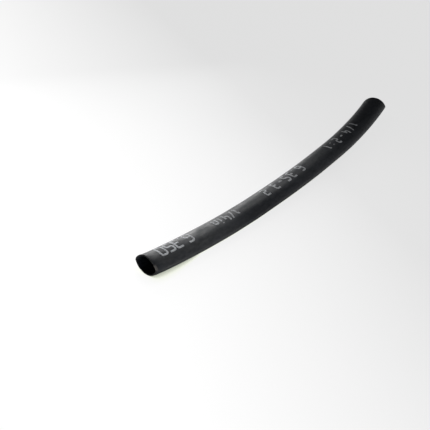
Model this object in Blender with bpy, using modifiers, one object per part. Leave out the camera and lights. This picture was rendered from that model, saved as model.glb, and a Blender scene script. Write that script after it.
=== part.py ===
"""Heat shrink tube: one cut piece of expanded polyolefin tubing, lying on its flat side.

The tube comes off a reel, so it keeps a gentle bend in the floor's plane. The reel also presses
its section a little flat: two shallow arcs that meet in a soft crease along each side.
The model is in metres, +Z up, with the origin on the floor under the middle of its bounding box.
"""

import math

import bmesh
import bpy

# Sizes of the tube, in metres
LENGTH = 0.1524  # along the centreline: a 6 inch cut piece
BORE = 0.0068  # as supplied and pressed round, for the nominal 6.4 mm (1/4 inch) size
WALL = 0.0004  # as supplied, before heat thickens it
PRESSED_BY = 0.0012  # how much lower the section lies than a round one
CREASE_RADIUS = 0.0010  # outer radius of the fold along each side
BEND_RADIUS = 0.387  # of the centreline, as the reel leaves it
ALIGNED_AT = 0.050  # distance from the near end where the bore runs along +X

# Fineness of the faces
ARC_SEGMENTS = 16  # on the top arc, and on the bottom one
CREASE_SEGMENTS = 6  # round each crease
BEND_STEPS = 24  # along the whole length

# Colour and finish of the black polyolefin
BLACK = (0.018, 0.019, 0.021, 1.0)
ROUGHNESS = 0.45

HEIGHT = BORE + 2 * WALL - PRESSED_BY
FULL_TURN = LENGTH / BEND_RADIUS
TURN_TO_NEAR_END = ALIGNED_AT / BEND_RADIUS
TURN_TO_FAR_END = FULL_TURN - TURN_TO_NEAR_END


def clear_scene():
    for obj in list(bpy.data.objects):
        bpy.data.objects.remove(obj, do_unlink=True)


def arc_shape(half_width, half_height, crease):
    """Radius of the shallow arcs, and half the angle that each of them spans."""
    radius = (half_width**2 - 2 * half_width * crease + half_height**2) / (2 * (half_height - crease))
    half_angle = math.asin(min(1.0, (half_width - crease) / (radius - crease)))
    return radius, half_angle


def perimeter(half_width, half_height, crease):
    radius, half_angle = arc_shape(half_width, half_height, crease)
    return 4 * (radius * half_angle + crease * (math.pi / 2 - half_angle))


def outer_half_width():
    """Half the width of the pressed section: pressing keeps the length of the wall's middle line."""
    middle_height = (HEIGHT - WALL) / 2
    middle_crease = CREASE_RADIUS - WALL / 2
    target = math.pi * (BORE + WALL)
    low, high = middle_height, target / 2
    for _ in range(50):
        middle_width = (low + high) / 2
        if perimeter(middle_width, middle_height, middle_crease) > target:
            high = middle_width
        else:
            low = middle_width
    return low + WALL / 2


def arc_points(centre_x, centre_z, radius, first, last, segments):
    """Points on an arc from the angle first towards last, which the next arc supplies."""
    step = (last - first) / segments
    angles = [first + step * i for i in range(segments)]
    return [(centre_x + radius * math.cos(a), centre_z + radius * math.sin(a)) for a in angles]


def section_outline(half_width):
    """The outer outline about its own centre, clockwise, so that its outer side runs downwards."""
    half_height = HEIGHT / 2
    radius, half_angle = arc_shape(half_width, half_height, CREASE_RADIUS)
    sunk = radius - half_height
    crease_at = half_width - CREASE_RADIUS
    up, down = math.pi / 2, -math.pi / 2
    top = arc_points(0, -sunk, radius, up + half_angle, up - half_angle, ARC_SEGMENTS)
    outer = arc_points(crease_at, 0, CREASE_RADIUS, up - half_angle, down + half_angle, CREASE_SEGMENTS)
    bottom = arc_points(0, sunk, radius, down + half_angle, down - half_angle, ARC_SEGMENTS)
    inner = arc_points(-crease_at, 0, CREASE_RADIUS, down - half_angle, half_angle - 3 * up, CREASE_SEGMENTS)
    return top + outer + bottom + inner


def outline_mesh(name, outline, distance):
    """A closed loop of edges in the XZ plane, its centre this far from the Z axis."""
    mesh = bpy.data.meshes.new(name)
    bm = bmesh.new()
    verts = [bm.verts.new((distance + x, 0, z)) for x, z in outline]
    for vert, following in zip(verts, verts[1:] + verts[:1]):
        bm.edges.new((vert, following))
    bm.to_mesh(mesh)
    bm.free()
    return mesh


def black_polyolefin():
    material = bpy.data.materials.new("black_polyolefin")
    material.use_nodes = True
    shader = material.node_tree.nodes["Principled BSDF"]
    shader.inputs["Base Color"].default_value = BLACK
    shader.inputs["Roughness"].default_value = ROUGHNESS
    shader.inputs["Metallic"].default_value = 0.0
    return material


def bend(obj):
    """Sweeps the outline round the Z axis through the tube's full turn."""
    screw = obj.modifiers.new("reel_bend", "SCREW")
    screw.axis = "Z"
    screw.angle = FULL_TURN
    screw.steps = BEND_STEPS
    screw.render_steps = BEND_STEPS
    screw.use_merge_vertices = False
    screw.use_smooth_shade = True


def thicken(obj):
    """Gives the swept surface its wall, inwards, and closes both cut ends."""
    solidify = obj.modifiers.new("wall", "SOLIDIFY")
    solidify.thickness = WALL
    solidify.offset = -1.0
    solidify.use_even_offset = True
    solidify.use_rim = True


def place(obj, half_width):
    """Turns the bend so that +X is its tangent at ALIGNED_AT, and sets it on the floor, centred."""
    outside = BEND_RADIUS + half_width
    inside = BEND_RADIUS - half_width
    centre_x = outside * (math.sin(TURN_TO_NEAR_END) - math.sin(TURN_TO_FAR_END)) / 2
    farthest_turn = max(TURN_TO_NEAR_END, TURN_TO_FAR_END)
    centre_y = (outside + inside * math.cos(farthest_turn)) / 2
    obj.location = (centre_x, centre_y, HEIGHT / 2)
    obj.rotation_euler = (0, 0, -math.pi / 2 - TURN_TO_NEAR_END)


def make_tube(collection):
    half_width = outer_half_width()
    mesh = outline_mesh("heat_shrink_tube", section_outline(half_width), BEND_RADIUS)
    tube = bpy.data.objects.new("heat_shrink_tube", mesh)
    collection.objects.link(tube)
    tube.data.materials.append(black_polyolefin())
    bend(tube)
    thicken(tube)
    place(tube, half_width)


def main():
    clear_scene()
    collection = bpy.data.collections.new("heat_shrink_tube")
    bpy.context.scene.collection.children.link(collection)
    make_tube(collection)


main()
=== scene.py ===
"""Heat shrink tube: the look of one cut piece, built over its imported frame.

The tube's wall is a long thin strip swept round the pressed section, and it is laid in the bend that its reel left.
Sizes are in metres unless a name says mm. Straight coordinates come first: x along the tube from its near end, y across
it towards the inside of the bend, and z up from the middle of its height. One group of nodes then bends them.
"""

import math

import bmesh
import bpy
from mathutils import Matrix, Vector


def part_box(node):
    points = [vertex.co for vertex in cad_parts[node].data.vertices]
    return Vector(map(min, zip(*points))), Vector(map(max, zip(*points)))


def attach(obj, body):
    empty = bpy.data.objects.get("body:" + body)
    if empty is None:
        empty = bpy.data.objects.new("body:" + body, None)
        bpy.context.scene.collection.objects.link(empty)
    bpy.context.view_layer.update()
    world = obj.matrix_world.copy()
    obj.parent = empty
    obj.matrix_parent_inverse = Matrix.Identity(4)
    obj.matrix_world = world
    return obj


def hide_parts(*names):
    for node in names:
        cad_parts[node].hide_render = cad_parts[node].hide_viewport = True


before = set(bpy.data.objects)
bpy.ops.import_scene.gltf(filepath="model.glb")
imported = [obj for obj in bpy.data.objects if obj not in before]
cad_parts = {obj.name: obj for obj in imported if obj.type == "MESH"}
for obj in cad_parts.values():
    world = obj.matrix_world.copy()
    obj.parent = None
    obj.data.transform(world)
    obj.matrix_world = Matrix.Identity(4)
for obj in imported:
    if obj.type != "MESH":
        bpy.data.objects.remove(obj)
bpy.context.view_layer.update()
NODE = "heat_shrink_tube"

bl_info = {
    "name": "Heat Shrink Tube",
    "version": (1, 0, 0),
    "blender": (4, 5, 0),
    "location": "3D View > Sidebar > Tube",
    "description": "Builds a cut piece of heat shrink tube with its size marks, on a plain stage",
    "category": "Add Mesh",
}

# Strokes of the figures in a cell 1 high, read from the base up. Each stroke is a run of points (across, up).
FIGURES = {
    "0": (0.54, [[(0.27, 0.0), (0.54, 0.0), (0.54, 1.0), (0.0, 1.0), (0.0, 0.0), (0.27, 0.0)]]),
    "1": (0.26, [[(0.0, 0.80), (0.20, 1.0), (0.20, 0.0)]]),
    "2": (0.54, [[(0.0, 1.0), (0.54, 1.0), (0.54, 0.52), (0.0, 0.52), (0.0, 0.0), (0.54, 0.0)]]),
    "3": (0.54, [[(0.0, 1.0), (0.54, 1.0), (0.54, 0.0), (0.0, 0.0)], [(0.10, 0.52), (0.52, 0.52)]]),
    "4": (0.56, [[(0.0, 1.0), (0.0, 0.40), (0.56, 0.40)], [(0.44, 0.72), (0.44, 0.0)]]),
    "5": (0.54, [[(0.54, 1.0), (0.0, 1.0), (0.0, 0.54), (0.54, 0.54), (0.54, 0.0), (0.0, 0.0)]]),
    "6": (0.54, [[(0.51, 1.0), (0.0, 1.0), (0.0, 0.0), (0.54, 0.0), (0.54, 0.54), (0.0, 0.54)]]),
    "/": (0.42, [[(0.0, 0.0), (0.42, 1.0)]]),
    ".": (0.14, [[(0.07, 0.0), (0.07, 0.09)]]),
    ":": (0.14, [[(0.07, 0.20), (0.07, 0.30)], [(0.07, 0.66), (0.07, 0.76)]]),
    "-": (0.42, [[(0.0, 0.48), (0.42, 0.48)]]),
    "i": (0.14, [[(0.07, 0.0), (0.07, 0.62)], [(0.07, 0.86), (0.07, 0.94)]]),
    "n": (0.46, [[(0.0, 0.0), (0.0, 0.70), (0.46, 0.70), (0.46, 0.0)]]),
}

# The marks along the tube: what each says, where its first and last figures end, its height against the tallest, and
# how far off the tube's top line it is printed, to the inside of the bend
MARKS = (
    ("6.350", 0.0178, 0.0043, 1.0, 0.00015),
    ("1/4in", 0.0400, 0.0285, 0.82, -0.00035),
    ("6.35-3.2", 0.0800, 0.0555, 0.86, -0.0001),
    ("1/4-2:1", 0.1240, 0.0995, 0.80, -0.0005),
)

# Unevenness of the section: the length of one wave, and where in the noise it starts
SWELL_WAVE, SWELL_START = 0.030, 4.7

# Distances from an end at which the near end's roll and the cut's stray have faded out
ROLL_FADED, STRAY_FADED = 0.070, 0.002

# How far the middle line strays to the inside of its bend: distance from the near end, and stray, both in mm
WANDER_MM = ((0, 0.37), (22, -0.34), (45, -0.11), (68, 0.26), (92, 0.21), (120, -0.22), (152.4, -0.04))

# How shiny handling and dust have left the tube: distance from the near end in mm, and share of the most shine
SHINE_MM = ((0, 0.90), (24, 1.0), (36, 0.75), (48, 0.45), (60, 0.57), (72, 0.64), (88, 0.70), (152.4, 0.70))

# Specular level of the skin where it is shiniest, and on the scuffed underside
MOST_SHINE, LEAST_SHINE = 0.60, 0.10

# Roughness of the skin at its smoothest, and what rubbing, grain and scuffs each add to it
SMOOTHEST, RUBBING_ADDS, GRAIN_ADDS, SCUFFS_ADD = 0.40, 0.20, 0.10, 0.30

# Refractive index of polyolefin, and of the ink's binder
POLYOLEFIN_IOR, INK_IOR = 1.50, 1.48

# Softboxes: brightness, width, height, spread of the grid in degrees, place, and the point that each is turned to
SOFTBOXES = (
    ("near_softbox_high", 0.50, 0.12, 0.12, 66, (0.02, 0.03, 0.115), (-0.072, 0.0, 0.003)),
    ("near_softbox_low", 1.40, 0.12, 0.09, 100, (0.045, 0.12, 0.06), (-0.06, 0.0, 0.003)),
    ("front_softbox", 0.42, 0.25, 0.25, 180, (-0.05, -0.50, 0.14), (-0.03, 0.0, 0.0)),
    ("side_softbox", 1.15, 0.30, 0.30, 180, (0.25, -0.40, 0.30), (0.0, 0.0, 0.0)),
)

# Colour and strength of the dim light from the whole room
ROOM_COLOUR, ROOM_STRENGTH = "f7f9fb", 0.06

# The lamp under the floor: the level direction in which its light grows, and its strength at two places that way
GLOW_AXIS = (-0.844, 0.537, 0.0)
DIM_PLACE, DIM_GLOW = -0.021, 0.730
BRIGHT_PLACE, BRIGHT_GLOW = 0.074, 0.973

# Painted shadow on the floor: how far around the tube its glow is darkened, at the tube's near end and 20 mm further
# along X
NEAR_PLACE, NEAR_SHADOW_REACH = -0.076, 0.0038
INNER_PLACE, INNER_SHADOW_REACH = -0.056, 0.0006

# Half the floor's side, in metres
FLOOR_REACH = 3.0

# Steps in the mesh: along each shallow arc, round each crease, and along the tube
ARC_STEPS, CREASE_STEPS, LENGTH_CUTS = 40, 12, 180

# Steps round each corner of the cut, and round each corner of a figure's stroke
CUT_CORNER_STEPS, STROKE_CORNER_STEPS = 4, 5

# Distance between the points along a figure's stroke
STROKE_STEP = 0.00012


def linear_colour(hex_code):
    """The linear colour, with alpha, of an sRGB hex code such as 1a1b1d."""
    parts = [int(hex_code[i : i + 2], 16) / 255 for i in (0, 2, 4)]
    return [c / 12.92 if c <= 0.04045 else ((c + 0.055) / 1.055) ** 2.4 for c in parts] + [1.0]


def add_node(tree, kind, inputs=None, **settings):
    """A new node with its settings, and its inputs by name or number: a value, or the socket that feeds it."""
    node = tree.nodes.new(kind)
    for name, value in settings.items():
        setattr(node, name, value)
    for key, value in (inputs or {}).items():
        if isinstance(value, bpy.types.NodeSocket):
            tree.links.new(value, node.inputs[key])
        else:
            node.inputs[key].default_value = value
    return node


def length_setting(name, description, default):
    return bpy.props.FloatProperty(name=name, description=description, default=default, unit="LENGTH", precision=5)


def angle_setting(name, description, degrees):
    return bpy.props.FloatProperty(
        name=name, description=description, default=math.radians(degrees), unit="ROTATION", subtype="ANGLE"
    )


def colour_setting(name, description, hex_code):
    return bpy.props.FloatVectorProperty(
        name=name, description=description, default=linear_colour(hex_code), size=4, subtype="COLOR", min=0, max=1
    )


class TubeSizes(bpy.types.PropertyGroup):
    length: length_setting("Length", "Along the tube's middle line", 0.1524)
    bore: length_setting("Bore", "Inside diameter as supplied, when round", 0.0068)
    wall: length_setting("Wall", "Thickness of the wall as supplied", 0.0004)
    height: length_setting("Height", "Of the pressed section, as it lies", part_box(NODE)[1].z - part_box(NODE)[0].z)
    crease_radius: length_setting("Crease Radius", "Outer radius of the fold along each side", 0.0010)
    bend_radius: length_setting("Bend Radius", "Of the middle line, as the reel leaves it", 0.387)
    aligned_at: length_setting("Aligned At", "Distance from the near end where the tube runs along X", 0.050)
    unevenness: bpy.props.FloatProperty(
        name="Unevenness", description="Share by which the section flattens and swells along the tube", default=0.008,
        subtype="FACTOR", min=0, max=0.1,
    )
    near_roll: angle_setting("Near Roll", "How far the section turns about its own length at the near end", 6.6)
    cut_radius: length_setting("Cut Radius", "Rounding of the edges of the cut", 0.00005)
    cut_waver: length_setting("Cut Waver", "How far the cut strays from square", 0.00008)


class MarkSizes(bpy.types.PropertyGroup):
    height: length_setting("Height", "Of the tallest figure, from base to top", 0.0042)
    stroke: length_setting("Stroke", "Width of a figure's line", 0.00064)
    corner: length_setting("Corner", "Radius of a figure's corners", 0.0006)
    film: length_setting("Film", "How far the ink stands on the tube", 0.00001)


class TubeColours(bpy.types.PropertyGroup):
    polyolefin: colour_setting("Polyolefin", "The black tube", "0b1017")
    cut: colour_setting("Cut", "Polyolefin on the cut faces", "0e0e0f")
    worn: colour_setting("Worn", "Polyolefin that the reel has rubbed", "21252c")
    dragged: colour_setting("Dragged", "The cut face where the blade dragged", "1b1b1c")
    # Painted highlight: the pale grey of the crease, and of the cut face beside it, where they catch the light
    painted_crease_highlight: colour_setting("Painted Crease Highlight", "Polyolefin that a fold has stretched", "6e6a65")
    dust: colour_setting("Dust", "Specks on the tube", "55565a")
    ink: colour_setting("Ink", "The white ink of the size marks", "dde0e4")
    floor: colour_setting("Floor", "The opal floor, where no light comes through it", "5a5a5a")
    mottle: colour_setting("Mottle", "Lighter patches in the opal floor", "5d5d5d")
    # Painted shadow: the green tint that the floor's glow takes close under the tube
    painted_shadow_colour: colour_setting("Painted Shadow Colour", "What comes through the floor close under the tube", "f9ffe7")
    free_light: colour_setting("Free Light", "What comes through the floor elsewhere", "ffffff")


class StageSizes(bpy.types.PropertyGroup):
    azimuth: angle_setting("Azimuth", "Of the camera: at 0 it looks along Y", -53.17)
    elevation: angle_setting("Elevation", "Of the camera above the floor", 27.23)
    distance: length_setting("Distance", "From the camera to the point that it looks at", 0.3757)
    aim: bpy.props.FloatVectorProperty(
        name="Aim", description="The point that the camera looks at", default=(-0.03263, 0.00401, 0.0), size=3,
        subtype="TRANSLATION", unit="LENGTH",
    )
    lens: bpy.props.FloatProperty(name="Lens", description="The camera's focal length", default=96.48, unit="CAMERA")


# The section and the bend


def arc_shape(half_width, half_height, crease):
    """Radius of the section's shallow arcs, and half the angle that each of them spans."""
    radius = (half_width**2 - 2 * half_width * crease + half_height**2) / (2 * (half_height - crease))
    return radius, math.asin((half_width - crease) / (radius - crease))


def outer_half_width(sizes):
    """Half the width of the pressed section: pressing keeps the length of the wall's middle line."""
    middle_height = (sizes.height - sizes.wall) / 2
    crease = sizes.crease_radius - sizes.wall / 2
    low, high = middle_height, math.pi * (sizes.bore + sizes.wall) / 2
    for _ in range(50):
        middle_width = (low + high) / 2
        radius, half_angle = arc_shape(middle_width, middle_height, crease)
        if 4 * (radius * half_angle + crease * (math.pi / 2 - half_angle)) > math.pi * (sizes.bore + sizes.wall):
            high = middle_width
        else:
            low = middle_width
    return low + sizes.wall / 2


def top_arc(sizes):
    """Radius of the outer arc over the tube's top, and how far its centre lies below the tube's middle."""
    radius = arc_shape(outer_half_width(sizes), sizes.height / 2, sizes.crease_radius)[0]
    return radius, radius - sizes.height / 2


def section_outline(sizes):
    """Points round the outer outline, about the section's own centre."""
    half_width = outer_half_width(sizes)
    crease = sizes.crease_radius
    radius, half_angle = arc_shape(half_width, sizes.height / 2, crease)
    sunk, crease_at, quarter = radius - sizes.height / 2, half_width - crease, math.pi / 2
    arcs = (
        (0.0, -sunk, radius, quarter, half_angle, ARC_STEPS),
        (crease_at, 0.0, crease, 0.0, quarter - half_angle, CREASE_STEPS),
        (0.0, sunk, radius, -quarter, half_angle, ARC_STEPS),
        (-crease_at, 0.0, crease, math.pi, quarter - half_angle, CREASE_STEPS),
    )
    points = []
    for centre_y, centre_z, arc_radius, middle, half_span, steps in arcs:
        for step in range(steps):
            turn = middle + half_span * (1 - 2 * step / steps)
            points.append((0.0, centre_y + arc_radius * math.cos(turn), centre_z + arc_radius * math.sin(turn)))
    return points


def bend_values(sizes):
    """What the bending nodes need: the bend's centre is found so that the tube's box is centred on the origin."""
    half_width = outer_half_width(sizes)
    near_turn = sizes.aligned_at / sizes.bend_radius
    far_turn = (sizes.length - sizes.aligned_at) / sizes.bend_radius
    outside, inside = sizes.bend_radius + half_width, sizes.bend_radius - half_width
    return {
        "Half Height": sizes.height / 2,
        "Sunk": top_arc(sizes)[1],
        "Unevenness": sizes.unevenness,
        "Near Roll": sizes.near_roll,
        "Bend Radius": sizes.bend_radius,
        "Start Turn": -math.pi / 2 - near_turn,
        "Centre X": outside * (math.sin(near_turn) - math.sin(far_turn)) / 2,
        "Centre Y": (outside + inside * math.cos(max(near_turn, far_turn))) / 2,
    }


# Geometry Nodes


def new_tree(name, floats=(), materials=()):
    """A tree from geometry to geometry with these named inputs; gives the tree, its inputs and its output node."""
    tree = bpy.data.node_groups.new(name, "GeometryNodeTree")
    tree.interface.new_socket("Geometry", in_out="INPUT", socket_type="NodeSocketGeometry")
    tree.interface.new_socket("Geometry", in_out="OUTPUT", socket_type="NodeSocketGeometry")
    for kind, names in (("NodeSocketFloat", floats), ("NodeSocketMaterial", materials)):
        for socket_name in names:
            tree.interface.new_socket(socket_name, in_out="INPUT", socket_type=kind)
    given = add_node(tree, "NodeGroupInput").outputs
    return tree, given, add_node(tree, "NodeGroupOutput")


def math_node(tree, operation, *values):
    return add_node(tree, "ShaderNodeMath", dict(enumerate(values)), operation=operation).outputs[0]


def multiply(tree, first, *others):
    for other in others:
        first = math_node(tree, "MULTIPLY", first, other)
    return first


def ramp(tree, value, low, high, to_low=0.0, to_high=1.0):
    """Stretches the part of the value from low to high, and clamps it."""
    return add_node(
        tree, "ShaderNodeMapRange",
        {"Value": value, "From Min": low, "From Max": high, "To Min": to_low, "To Max": to_high},
    ).outputs[0]


def curve_node(tree, value, places):
    """A smooth curve through these places. Both of its axes run from 0 to 1."""
    node = add_node(tree, "ShaderNodeFloatCurve", {"Value": value})
    points = node.mapping.curves[0].points
    for place in places[1:-1]:
        points.new(*place)
    points[0].location, points[-1].location = places[0], places[-1]
    node.mapping.update()
    return node.outputs[0]


BEND_INPUTS = ("Half Height", "Sunk", "Unevenness", "Near Roll", "Bend Radius", "Start Turn", "Centre X", "Centre Y")


def bend_group():
    """Takes straight coordinates to the tube as it lies: uneven, rolled at the near end, bent, and on the floor."""
    length_mm = WANDER_MM[-1][0]
    tree, given, result = new_tree("lay_in_the_bend", BEND_INPUTS)
    straight = add_node(tree, "GeometryNodeInputPosition").outputs[0]
    along, across, up = add_node(tree, "ShaderNodeSeparateXYZ", {0: straight}).outputs

    # The section flattens and swells slowly, and stays down on its lowest line
    waves = math_node(tree, "MULTIPLY_ADD", along, 1 / SWELL_WAVE, SWELL_START)
    noise = add_node(tree, "ShaderNodeTexNoise", {"W": waves, "Scale": 1.0, "Detail": 1.0}, noise_dimensions="1D")
    either_way = math_node(tree, "MULTIPLY_ADD", noise.outputs[0], 2.0, -1.0)
    swell = multiply(tree, either_way, given["Unevenness"])
    wide = multiply(tree, across, math_node(tree, "ADD", 1.0, swell))
    above_floor = math_node(tree, "ADD", up, given["Half Height"])
    flat = math_node(tree, "SUBTRACT", up, multiply(tree, above_floor, swell))
    uneven = add_node(tree, "ShaderNodeCombineXYZ", {0: along, 1: wide, 2: flat}).outputs[0]

    # The near end is rolled on its lower arc, and the roll fades out inwards
    fading = add_node(
        tree, "ShaderNodeMapRange",
        {"Value": along, "From Min": 0.0, "From Max": ROLL_FADED, "To Min": 1.0, "To Max": 0.0},
        interpolation_type="SMOOTHSTEP",
    )
    roll = multiply(tree, fading.outputs[0], given["Near Roll"])
    arc_centre = add_node(tree, "ShaderNodeCombineXYZ", {2: given["Sunk"]}).outputs[0]
    rolled = add_node(
        tree, "ShaderNodeVectorRotate", {"Vector": uneven, "Center": arc_centre, "Angle": roll}, rotation_type="X_AXIS"
    )
    x, y, z = add_node(tree, "ShaderNodeSeparateXYZ", {0: rolled.outputs[0]}).outputs

    # The middle line wanders by a few tenths of a millimetre from a true arc: 0.5 on the curve is none at all
    share = multiply(tree, x, 1000 / length_mm)
    wander = curve_node(tree, share, [(place / length_mm, 0.5 + stray) for place, stray in WANDER_MM])
    strayed = math_node(tree, "MULTIPLY_ADD", wander, 0.001, -0.0005)
    radius = math_node(tree, "SUBTRACT", given["Bend Radius"], math_node(tree, "ADD", y, strayed))
    turn = math_node(tree, "ADD", math_node(tree, "DIVIDE", x, given["Bend Radius"]), given["Start Turn"])
    bent_x = math_node(tree, "MULTIPLY_ADD", radius, math_node(tree, "COSINE", turn), given["Centre X"])
    bent_y = math_node(tree, "MULTIPLY_ADD", radius, math_node(tree, "SINE", turn), given["Centre Y"])
    raised = math_node(tree, "ADD", z, given["Half Height"])
    lying = add_node(tree, "ShaderNodeCombineXYZ", {0: bent_x, 1: bent_y, 2: raised}).outputs[0]
    placed = add_node(tree, "GeometryNodeSetPosition", {"Geometry": given["Geometry"], "Position": lying})
    tree.links.new(placed.outputs[0], result.inputs[0])


def bend_node(tree, given, geometry):
    node = add_node(tree, "GeometryNodeGroup", node_tree=bpy.data.node_groups["lay_in_the_bend"])
    tree.links.new(geometry, node.inputs["Geometry"])
    for name in BEND_INPUTS:
        tree.links.new(given[name], node.inputs[name])
    return node.outputs[0]


def keep_millimetres(tree, geometry, name):
    """Stores the straight coordinates in millimetres, for the materials to read."""
    position = add_node(tree, "GeometryNodeInputPosition").outputs[0]
    in_mm = add_node(tree, "ShaderNodeVectorMath", {0: position, "Scale": 1000.0}, operation="SCALE").outputs[0]
    return add_node(
        tree, "GeometryNodeStoreNamedAttribute", {"Geometry": geometry, "Name": name, "Value": in_mm},
        data_type="FLOAT_VECTOR", domain="POINT",
    ).outputs[0]


def tube_tree():
    """Sweeps the wall, a strip with rounded edges, round the section's outline, and bends it."""
    floats = ("Length", "Wall", "Cut Radius", "Cut Waver") + BEND_INPUTS
    tree, given, result = new_tree("sweep_the_wall", floats, ("Surface", "Cut Face"))
    outline = add_node(tree, "GeometryNodeMeshToCurve", {"Mesh": given["Geometry"]}).outputs[0]

    strip = add_node(
        tree, "GeometryNodeCurvePrimitiveQuadrilateral", {"Width": given["Length"], "Height": given["Wall"]},
        mode="RECTANGLE",
    ).outputs[0]
    rounded = add_node(
        tree, "GeometryNodeFilletCurve", {"Curve": strip, "Radius": given["Cut Radius"], "Count": CUT_CORNER_STEPS},
        mode="POLY",
    ).outputs[0]
    here = add_node(tree, "GeometryNodeInputPosition").outputs[0]
    following = add_node(tree, "GeometryNodeOffsetPointInCurve", {"Offset": 1}).outputs["Point Index"]
    there = add_node(tree, "GeometryNodeFieldAtIndex", {"Index": following, "Value": here}, data_type="FLOAT_VECTOR")
    side = add_node(tree, "ShaderNodeVectorMath", {0: here, 1: there.outputs[0]}, operation="DISTANCE").outputs["Value"]
    half_length = multiply(tree, given["Length"], 0.5)
    on_long_side = math_node(tree, "GREATER_THAN", side, half_length)
    cuts = multiply(tree, on_long_side, LENGTH_CUTS)
    stepped = add_node(tree, "GeometryNodeSubdivideCurve", {"Curve": rounded, "Cuts": cuts}).outputs[0]
    half_wall = multiply(tree, given["Wall"], 0.5)
    middle = add_node(tree, "ShaderNodeCombineXYZ", {0: half_length, 1: half_wall}).outputs[0]
    strip_at = add_node(tree, "GeometryNodeTransform", {"Geometry": stepped, "Translation": middle}).outputs[0]
    wall = add_node(tree, "GeometryNodeCurveToMesh", {"Curve": outline, "Profile Curve": strip_at}).outputs[0]
    measured = keep_millimetres(tree, wall, "tube_mm")

    # The cut strays a little from square, in waves 4 mm long round it
    position = add_node(tree, "GeometryNodeInputPosition").outputs[0]
    along = add_node(tree, "ShaderNodeSeparateXYZ", {0: position}).outputs[0]
    to_far_end = math_node(tree, "SUBTRACT", given["Length"], along)
    from_cut = math_node(tree, "MINIMUM", along, to_far_end)
    fade = ramp(tree, from_cut, 0.0, STRAY_FADED, 1.0, 0.0)
    waves = add_node(tree, "ShaderNodeTexNoise", {"Vector": position, "Scale": 260.0, "Detail": 2.0}).outputs[0]
    either_way = math_node(tree, "MULTIPLY_ADD", waves, 2.0, -1.0)
    stray = multiply(tree, either_way, given["Cut Waver"], fade)
    shift = add_node(tree, "ShaderNodeCombineXYZ", {0: stray}).outputs[0]
    wavy = add_node(tree, "GeometryNodeSetPosition", {"Geometry": measured, "Offset": shift}).outputs[0]

    smooth = add_node(tree, "GeometryNodeSetShadeSmooth", {"Geometry": bend_node(tree, given, wavy)}).outputs[0]
    real = add_node(tree, "GeometryNodeRealizeInstances", {0: smooth}).outputs[0]
    dressed = add_node(tree, "GeometryNodeSetMaterial", {"Geometry": real, "Material": given["Surface"]}).outputs[0]

    # A point is on the cut when it is nearer to an end than half the rounding's radius
    kept = add_node(tree, "GeometryNodeInputNamedAttribute", {"Name": "tube_mm"}, data_type="FLOAT_VECTOR").outputs[0]
    kept_along = add_node(tree, "ShaderNodeSeparateXYZ", {0: kept}).outputs[0]
    length_mm = multiply(tree, given["Length"], 1000.0)
    end_mm = math_node(tree, "MINIMUM", kept_along, math_node(tree, "SUBTRACT", length_mm, kept_along))
    on_cut = math_node(tree, "LESS_THAN", end_mm, multiply(tree, given["Cut Radius"], 500.0))
    finished = add_node(
        tree, "GeometryNodeSetMaterial", {"Geometry": dressed, "Selection": on_cut, "Material": given["Cut Face"]}
    ).outputs[0]
    tree.links.new(finished, result.inputs[0])
    return tree


def marks_tree():
    """Gives the figures' strokes their width, wraps them over the tube's top, and bends them with it."""
    floats = ("Stroke", "Corner", "Film", "Top Radius") + BEND_INPUTS
    tree, given, result = new_tree("print_the_marks", floats, ("Ink",))
    strokes = add_node(tree, "GeometryNodeMeshToCurve", {"Mesh": given["Geometry"]}).outputs[0]
    eased = add_node(
        tree, "GeometryNodeFilletCurve",
        {"Curve": strokes, "Radius": given["Corner"], "Limit Radius": True, "Count": STROKE_CORNER_STEPS},
        mode="POLY",
    ).outputs[0]
    even = add_node(
        tree, "GeometryNodeResampleCurve", {"Curve": eased, "Length": STROKE_STEP}, mode="LENGTH"
    ).outputs[0]
    upright = add_node(tree, "GeometryNodeSetCurveNormal", {"Curve": even}, mode="Z_UP").outputs[0]
    thick = multiply(tree, given["Film"], 2.0)
    band = add_node(
        tree, "GeometryNodeCurvePrimitiveQuadrilateral", {"Width": given["Stroke"], "Height": thick}, mode="RECTANGLE"
    ).outputs[0]
    band = add_node(tree, "GeometryNodeSubdivideCurve", {"Curve": band, "Cuts": 2}).outputs[0]
    flat = add_node(
        tree, "GeometryNodeCurveToMesh", {"Curve": upright, "Profile Curve": band, "Fill Caps": True}
    ).outputs[0]
    measured = keep_millimetres(tree, flat, "mark_mm")

    position = add_node(tree, "GeometryNodeInputPosition").outputs[0]
    along, across, lift = add_node(tree, "ShaderNodeSeparateXYZ", {0: position}).outputs
    radius = math_node(tree, "ADD", given["Top Radius"], lift)
    turn = math_node(tree, "DIVIDE", across, given["Top Radius"])
    sideways = multiply(tree, radius, math_node(tree, "SINE", turn))
    from_centre = multiply(tree, radius, math_node(tree, "COSINE", turn))
    upwards = math_node(tree, "SUBTRACT", from_centre, given["Sunk"])
    wrapped = add_node(tree, "ShaderNodeCombineXYZ", {0: along, 1: sideways, 2: upwards}).outputs[0]
    over_top = add_node(tree, "GeometryNodeSetPosition", {"Geometry": measured, "Position": wrapped}).outputs[0]

    real = add_node(tree, "GeometryNodeRealizeInstances", {0: bend_node(tree, given, over_top)}).outputs[0]
    inked = add_node(tree, "GeometryNodeSetMaterial", {"Geometry": real, "Material": given["Ink"]}).outputs[0]
    tree.links.new(inked, result.inputs[0])
    return tree


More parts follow.
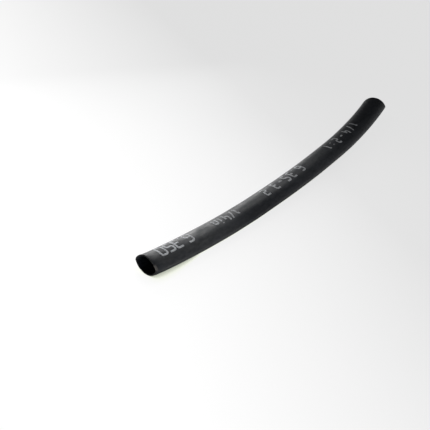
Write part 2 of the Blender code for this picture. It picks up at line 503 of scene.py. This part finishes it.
def grow(name, mesh, tree, values):
    """Runs the tree on the mesh, and gives what comes out as a plain object at the origin."""
    source = bpy.data.objects.new(name + "_source", mesh)
    bpy.context.scene.collection.objects.link(source)
    nodes = source.modifiers.new(tree.name, "NODES")
    nodes.node_group = tree
    for socket in tree.interface.items_tree:
        if socket.item_type == "SOCKET" and socket.in_out == "INPUT" and socket.name in values:
            nodes[socket.identifier] = values[socket.name]
    weights = source.modifiers.new("even_shading", "WEIGHTED_NORMAL")
    weights.weight = 100
    depsgraph = bpy.context.evaluated_depsgraph_get()
    finished = bpy.data.meshes.new_from_object(
        source.evaluated_get(depsgraph), preserve_all_data_layers=True, depsgraph=depsgraph
    )
    bpy.data.objects.remove(source, do_unlink=True)
    if not finished.polygons:
        raise RuntimeError(name + " came out empty")
    finished.name = name
    piece = bpy.data.objects.new(name, finished)
    bpy.context.scene.collection.objects.link(piece)
    return piece


def edge_mesh(name, runs, closed=False):
    """A mesh of loose edges along each run of points."""
    points, edges = [], []
    for run in runs:
        first = len(points)
        points += run
        edges += [(first + i, first + i + 1) for i in range(len(run) - 1)]
        if closed:
            edges.append((len(points) - 1, first))
    mesh = bpy.data.meshes.new(name)
    mesh.from_pydata(points, edges, [])
    return mesh


# Materials


def new_material(name):
    material = bpy.data.materials.new(name)
    material.use_nodes = True
    tree = material.node_tree
    return material, tree, tree.nodes["Principled BSDF"]


def pattern(tree, attribute, scale, detail=2.0, roughness=0.5, shift=(0.0, 0.0, 0.0)):
    """Noise on a piece's own millimetres. The scale is features per millimetre along x, y and z."""
    place = add_node(tree, "ShaderNodeAttribute", attribute_name=attribute).outputs["Vector"]
    scaled = add_node(tree, "ShaderNodeMapping", {"Vector": place, "Location": shift, "Scale": scale}).outputs[0]
    return add_node(
        tree, "ShaderNodeTexNoise", {"Vector": scaled, "Scale": 1.0, "Detail": detail, "Roughness": roughness}
    ).outputs[0]


def blend_colours(tree, share, first, second):
    """From the first colour to the second by the share. The node's sockets are numbered, since their names repeat."""
    return add_node(tree, "ShaderNodeMix", {0: share, 6: first, 7: second}, data_type="RGBA").outputs[2]


def own_millimetres(tree, attribute, axis):
    """The piece's straight coordinate in millimetres: along it at axis 0, across at 1, up at 2."""
    place = add_node(tree, "ShaderNodeAttribute", attribute_name=attribute).outputs["Vector"]
    return add_node(tree, "ShaderNodeSeparateXYZ", {0: place}).outputs[axis]


def from_near_end(tree, attribute, first_mm, last_mm, at_first=0.0, at_last=1.0):
    """Goes from one value to another between these distances from the near end."""
    return ramp(tree, own_millimetres(tree, attribute, 0), first_mm, last_mm, at_first, at_last)


def towards_outer_crease(tree, first_mm, last_mm):
    """Rises from 0 to 1 between these distances from the middle, towards the crease on the outside of the bend."""
    return ramp(tree, own_millimetres(tree, "tube_mm", 1), -first_mm, -last_mm)


def at_height(tree, first_mm, last_mm):
    """Rises from 0 to 1 between these heights above the tube's middle."""
    return ramp(tree, own_millimetres(tree, "tube_mm", 2), first_mm, last_mm)


def crease_highlight_side(tree):
    """1 on the upper side of the outer crease, where the crease's painted highlight goes, and 0 elsewhere."""
    return multiply(tree, towards_outer_crease(tree, 3.2, 3.8), at_height(tree, 0.1, 0.7))


def extruded_polyolefin(colours):
    """Cross-linked polyolefin as it is extruded and then blown wide: satin black, with die lines along it, rubbed
    patches from the reel, and a painted highlight along the outer crease, strongest at its corner by the cut. It gives
    a broad soft highlight that fades along it."""
    material, tree, shader = new_material("extruded_polyolefin_black")
    # Die lines 0.3 mm apart round the section, each tens of millimetres long
    die_lines = pattern(tree, "tube_mm", (0.03, 3.3, 3.3), detail=1.0)
    # Grain of the blown skin, 0.15 mm in the real one and drawn at 0.3 mm so that it shows
    grain = pattern(tree, "tube_mm", (3.3, 3.3, 3.3), detail=3.0, roughness=0.6)
    # Rubbed patches some 6 mm long and 2 mm wide, where the turns of the reel touched
    patches = pattern(tree, "tube_mm", (0.16, 0.5, 0.5), detail=4.0, roughness=0.65, shift=(1.0, 1.0, 7.0))
    # Painted shade: the patches halve in strength from 22 to 50 mm in, which darkens the far part
    rubbed = multiply(tree, ramp(tree, patches, 0.39, 0.64), from_near_end(tree, "tube_mm", 22, 50, 1.0, 0.5))
    # Specks of dust, each about 0.1 mm, one to every few square millimetres
    dust = ramp(tree, pattern(tree, "tube_mm", (2.6, 2.6, 2.6), detail=5.0, shift=(9.0, 4.0, 7.0)), 0.70, 0.76)
    # Painted highlight along the outer crease, where it catches the light: faint in stretches 10 mm long, and strong in
    # the last 0.75 mm before the cut
    stretches = ramp(tree, pattern(tree, "tube_mm", (0.1, 0.0, 0.0), detail=3.0, shift=(1.0, 0.0, 0.0)), 0.38, 0.62)
    crease_line_highlight = multiply(tree, towards_outer_crease(tree, 4.46, 4.54), stretches, 0.08)
    corner = multiply(tree, crease_highlight_side(tree), from_near_end(tree, "tube_mm", 0.75, 0.35), 0.8)
    painted_crease_highlight = math_node(tree, "MAXIMUM", crease_line_highlight, corner)

    worn_black = blend_colours(tree, rubbed, list(colours.polyolefin), list(colours.worn))
    creased_black = blend_colours(tree, painted_crease_highlight, worn_black, list(colours.painted_crease_highlight))
    dusty_black = blend_colours(tree, multiply(tree, dust, 0.5), creased_black, list(colours.dust))
    tree.links.new(dusty_black, shader.inputs["Base Color"])

    # The underside is scuffed dull by whatever the tube has lain on, and smears from handling, 2 mm long and 1 mm wide,
    # break up the shine
    underside = at_height(tree, 0.4, -0.8)
    satin = math_node(tree, "MULTIPLY_ADD", rubbed, RUBBING_ADDS, SMOOTHEST)
    satin = math_node(tree, "MULTIPLY_ADD", grain, GRAIN_ADDS, satin)
    tree.links.new(math_node(tree, "MULTIPLY_ADD", underside, SCUFFS_ADD, satin), shader.inputs["Roughness"])
    length_mm = SHINE_MM[-1][0]
    share = from_near_end(tree, "tube_mm", 0.0, length_mm)
    left = curve_node(tree, share, [(place / length_mm, kept) for place, kept in SHINE_MM])
    smears = pattern(tree, "tube_mm", (0.5, 1.0, 1.0), detail=3.0, roughness=0.6, shift=(6.0, 2.0, 4.0))
    shine = ramp(tree, underside, 0.0, 1.0, MOST_SHINE, LEAST_SHINE)
    shine = multiply(tree, shine, left, ramp(tree, smears, 0.35, 0.65, 0.75, 1.15))
    tree.links.new(shine, shader.inputs["Specular IOR Level"])
    shader.inputs["IOR"].default_value = POLYOLEFIN_IOR

    lines = add_node(tree, "ShaderNodeBump", {"Height": die_lines, "Strength": 0.20, "Distance": 0.00006}).outputs[0]
    fine = add_node(tree, "ShaderNodeBump", {"Height": grain, "Strength": 0.25, "Distance": 0.00003, "Normal": lines})
    tree.links.new(fine.outputs[0], shader.inputs["Normal"])
    return material


def cut_polyolefin(colours):
    """Polyolefin where a blade went through: matt black with the blade's drag marks, and a painted highlight on the
    upper side of the outer crease. It draws the dark edge of the opening, with one grey stretch of painted highlight at
    the outer crease."""
    material, tree, shader = new_material("cut_polyolefin")
    # Drag marks straight down through the wall, 0.12 mm apart in the real one, drawn at 0.25 mm
    drag = pattern(tree, "tube_mm", (0.5, 4.0, 0.8), detail=3.0, roughness=0.6)
    shade = blend_colours(tree, ramp(tree, drag, 0.35, 0.7), list(colours.cut), list(colours.dragged))
    # Painted highlight: the cut face is paled on the upper side of the outer crease
    tree.links.new(blend_colours(tree, crease_highlight_side(tree), shade, list(colours.painted_crease_highlight)), shader.inputs["Base Color"])
    tree.links.new(ramp(tree, drag, 0.3, 0.7, 0.50, 0.68), shader.inputs["Roughness"])
    shader.inputs["IOR"].default_value = POLYOLEFIN_IOR
    shader.inputs["Specular IOR Level"].default_value = 0.15
    bump = add_node(tree, "ShaderNodeBump", {"Height": drag, "Strength": 0.4, "Distance": 0.00005})
    tree.links.new(bump.outputs[0], shader.inputs["Normal"])
    return material


def marking_ink(colours):
    """White marking ink, jetted on and dried thin: matt, a little see-through, and patchy where it has rubbed."""
    material, tree, shader = new_material("marking_ink_white")
    # Thin spots where drops missed, 0.3 mm across
    drops = ramp(tree, pattern(tree, "mark_mm", (3.0, 3.0, 3.0), detail=3.0, roughness=0.6), 0.30, 0.50, 0.45, 1.0)
    # Rubbed patches 4 mm across, with soft edges
    patches = pattern(tree, "mark_mm", (0.25, 0.25, 0.25), detail=2.0, shift=(5.0, 2.0, 8.0))
    rubbed = ramp(tree, patches, 0.3, 0.6, 0.7, 1.0)
    # Painted shade: the print's cover falls from full at 10 mm to 0.56 at 35 mm from the near end, for the lesser light
    # on the far part
    painted_shade_along = from_near_end(tree, "mark_mm", 10, 35, 1.0, 0.56)
    cover = multiply(tree, drops, rubbed, painted_shade_along)
    shade = blend_colours(tree, cover, list(colours.polyolefin), list(colours.ink))
    tree.links.new(shade, shader.inputs["Base Color"])
    tree.links.new(math_node(tree, "MULTIPLY_ADD", cover, 0.2, 0.45), shader.inputs["Roughness"])
    shader.inputs["IOR"].default_value = INK_IOR
    return material


def lit_opal_acrylic(colours):
    """Opal acrylic, sanded matt and lit from below by a lamp off to the camera's left: it drowns nearly all shadow, and
    is brighter to the left than to the right. Close under the tube its glow is darkened and tinted green, a painted
    shadow."""
    material, tree, shader = new_material("opal_acrylic_lit")
    place = add_node(tree, "ShaderNodeTexCoord").outputs["Object"]
    # Mottle in the sheet, some 30 mm across
    mottle = add_node(tree, "ShaderNodeTexNoise", {"Vector": place, "Scale": 33.0, "Detail": 3.0}).outputs[0]
    shade = blend_colours(tree, mottle, list(colours.floor), list(colours.mottle))
    tree.links.new(shade, shader.inputs["Base Color"])
    shader.inputs["Roughness"].default_value = 0.85
    shader.inputs["Specular IOR Level"].default_value = 0.2
    # The lamp's light falls off evenly across 95 mm. Close under whatever lies on the sheet, ambient occlusion darkens
    # the glow and tints it green: a painted shadow, reaching furthest at the tube's near end
    across = add_node(tree, "ShaderNodeVectorMath", {0: place, 1: GLOW_AXIS}, operation="DOT_PRODUCT")
    glow = ramp(tree, across.outputs["Value"], DIM_PLACE, BRIGHT_PLACE, DIM_GLOW, BRIGHT_GLOW)
    along = add_node(tree, "ShaderNodeSeparateXYZ", {0: place}).outputs[0]
    shadow_reach = ramp(tree, along, NEAR_PLACE, INNER_PLACE, NEAR_SHADOW_REACH, INNER_SHADOW_REACH)
    free = add_node(tree, "ShaderNodeAmbientOcclusion", {"Distance": shadow_reach}, samples=8).outputs["AO"]
    tree.links.new(multiply(tree, glow, ramp(tree, free, 0.0, 0.5, 0.35, 1.0)), shader.inputs["Emission Strength"])
    shadow_tinted_glow = blend_colours(tree, free, list(colours.painted_shadow_colour), list(colours.free_light))
    tree.links.new(shadow_tinted_glow, shader.inputs["Emission Color"])
    return material


# The pieces


class AddHeatShrinkTube(bpy.types.Operator):
    """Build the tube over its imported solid"""

    bl_idname = "mesh.add_heat_shrink_tube"
    bl_label = "Heat Shrink Tube"
    bl_options = {"REGISTER", "UNDO"}

    def execute(self, context):
        sizes, colours = context.scene.tube_sizes, context.scene.tube_colours
        values = bend_values(sizes)
        values.update({
            "Length": sizes.length,
            "Wall": sizes.wall,
            "Cut Radius": sizes.cut_radius,
            "Cut Waver": sizes.cut_waver,
            "Surface": extruded_polyolefin(colours),
            "Cut Face": cut_polyolefin(colours),
        })
        outline = edge_mesh("section", [section_outline(sizes)], closed=True)
        tube = grow("tube_wall", outline, tube_tree(), values)
        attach(tube, "root")
        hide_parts(NODE)
        return {"FINISHED"}


class AddSizeMarks(bpy.types.Operator):
    """Print the size marks along the tube's top"""

    bl_idname = "mesh.add_size_marks"
    bl_label = "Size Marks"
    bl_options = {"REGISTER", "UNDO"}

    def execute(self, context):
        sizes, marks, colours = context.scene.tube_sizes, context.scene.mark_sizes, context.scene.tube_colours
        values = bend_values(sizes)
        values.update({
            "Stroke": marks.stroke,
            "Corner": marks.corner,
            "Film": marks.film,
            "Top Radius": top_arc(sizes)[0],
            "Ink": marking_ink(colours),
        })
        strokes = edge_mesh("strokes", self.stroke_runs(marks))
        printed = grow("size_marks", strokes, marks_tree(), values)
        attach(printed, "root")
        return {"FINISHED"}

    def stroke_runs(self, marks):
        """The strokes laid flat: they read towards the near end, with their base to the inside of the bend."""
        runs = []
        for text, start, end, share, off_line in MARKS:
            height = marks.height * share
            drawn_width = sum(FIGURES[figure][0] for figure in text) * height
            gap = (start - end - drawn_width) / (len(text) - 1)
            at = start
            for figure in text:
                width, strokes = FIGURES[figure]
                base = off_line + height / 2
                for stroke in strokes:
                    runs.append([(at - across * height, base - up * height, 0.0) for across, up in stroke])
                at -= width * height + gap
        return runs


class SetTubeStage(bpy.types.Operator):
    """Set the floor, the backdrop, the lights and the camera"""

    bl_idname = "scene.set_tube_stage"
    bl_label = "Stage"
    bl_options = {"REGISTER", "UNDO"}

    def execute(self, context):
        sheet = lit_opal_acrylic(context.scene.tube_colours)
        self.lay_floor(context, sheet)
        self.raise_backdrop(context, sheet)
        self.light(context)
        self.set_camera(context)
        return {"FINISHED"}

    def lay_floor(self, context, sheet):
        mesh = bpy.data.meshes.new("floor")
        corners = [(-FLOOR_REACH, -FLOOR_REACH, 0), (FLOOR_REACH, -FLOOR_REACH, 0)]
        corners += [(FLOOR_REACH, FLOOR_REACH, 0), (-FLOOR_REACH, FLOOR_REACH, 0)]
        mesh.from_pydata(corners, [], [(0, 1, 2, 3)])
        mesh.materials.append(sheet)
        floor = bpy.data.objects.new("floor", mesh)
        context.scene.collection.objects.link(floor)

    def raise_backdrop(self, context, sheet):
        """A round wall with a coved foot, for low views. It is there for the camera alone and lights nothing."""
        foot, cove, top = FLOOR_REACH * 0.8, FLOOR_REACH * 0.15, FLOOR_REACH * 0.7
        cove_steps, round_steps = 12, 96
        turns = [math.pi / 2 * step / cove_steps for step in range(cove_steps + 1)]
        profile = [(foot + cove * math.sin(turn), cove * (1 - math.cos(turn))) for turn in turns] + [(foot + cove, top)]
        mesh = bpy.data.meshes.new("backdrop")
        bm = bmesh.new()
        line = [bm.verts.new((out, 0, up)) for out, up in profile]
        edges = [bm.edges.new(pair) for pair in zip(line, line[1:])]
        bmesh.ops.spin(
            bm, geom=line + edges, axis=(0, 0, 1), cent=(0, 0, 0), angle=math.tau, steps=round_steps, use_merge=True
        )
        bm.to_mesh(mesh)
        bm.free()
        mesh.shade_smooth()
        mesh.materials.append(sheet)
        backdrop = bpy.data.objects.new("backdrop", mesh)
        context.scene.collection.objects.link(backdrop)
        backdrop.visible_diffuse = backdrop.visible_glossy = backdrop.visible_transmission = False
        backdrop.visible_shadow = False

    def light(self, context):
        """Dim room light, two small softboxes with grids for the highlight, and two large ones for the grey side."""
        world = bpy.data.worlds.new("studio")
        world.use_nodes = True
        background = world.node_tree.nodes["Background"]
        background.inputs["Color"].default_value = linear_colour(ROOM_COLOUR)
        background.inputs["Strength"].default_value = ROOM_STRENGTH
        context.scene.world = world
        context.scene.view_settings.view_transform = "Standard"
        for name, brightness, width, height, spread, place, target in SOFTBOXES:
            data = bpy.data.lights.new(name, "AREA")
            data.shape, data.size, data.size_y, data.spread = "RECTANGLE", width, height, math.radians(spread)
            data.energy = math.pi * width * height * brightness
            lamp = bpy.data.objects.new(name, data)
            lamp.location = place
            lamp.rotation_euler = (Vector(target) - Vector(place)).to_track_quat("-Z", "Y").to_euler()
            lamp.visible_camera = False
            context.scene.collection.objects.link(lamp)

    def set_camera(self, context):
        stage = context.scene.stage_sizes
        level = Vector((-math.sin(stage.azimuth), math.cos(stage.azimuth), 0.0)) * math.cos(stage.elevation)
        sight = level - Vector((0.0, 0.0, math.sin(stage.elevation)))
        data = bpy.data.cameras.new("camera")
        data.lens, data.sensor_width = stage.lens, 36.0
        data.clip_start, data.clip_end = 0.01, 20.0
        camera = bpy.data.objects.new("camera", data)
        camera.location = Vector(stage.aim) - sight * stage.distance
        camera.rotation_euler = sight.to_track_quat("-Z", "Y").to_euler()
        context.scene.collection.objects.link(camera)
        context.scene.camera = camera


class TubePanel(bpy.types.Panel):
    """The tube's sizes, colours and pieces"""

    bl_idname = "VIEW3D_PT_heat_shrink_tube"
    bl_label = "Heat Shrink Tube"
    bl_space_type = "VIEW_3D"
    bl_region_type = "UI"
    bl_category = "Tube"

    def draw(self, context):
        scene = context.scene
        for operator, groups in (
            (AddHeatShrinkTube, (scene.tube_sizes, scene.tube_colours)),
            (AddSizeMarks, (scene.mark_sizes,)),
            (SetTubeStage, (scene.stage_sizes,)),
        ):
            box = self.layout.box()
            for group in groups:
                for name in group.bl_rna.properties.keys():
                    if name not in ("rna_type", "name"):
                        box.prop(group, name)
            box.operator(operator.bl_idname)


CLASSES = (
    TubeSizes, MarkSizes, TubeColours, StageSizes, AddHeatShrinkTube, AddSizeMarks, SetTubeStage, TubePanel,
)
GROUPS = {
    "tube_sizes": TubeSizes,
    "mark_sizes": MarkSizes,
    "tube_colours": TubeColours,
    "stage_sizes": StageSizes,
}


def register():
    for cls in CLASSES:
        bpy.utils.register_class(cls)
    for name, group in GROUPS.items():
        setattr(bpy.types.Scene, name, bpy.props.PointerProperty(type=group))


def unregister():
    for name in GROUPS:
        delattr(bpy.types.Scene, name)
    for cls in reversed(CLASSES):
        bpy.utils.unregister_class(cls)


def main():
    register()
    bend_group()
    bpy.ops.mesh.add_heat_shrink_tube()
    bpy.ops.mesh.add_size_marks()
    bpy.ops.scene.set_tube_stage()


if __name__ == "__main__":
    main()
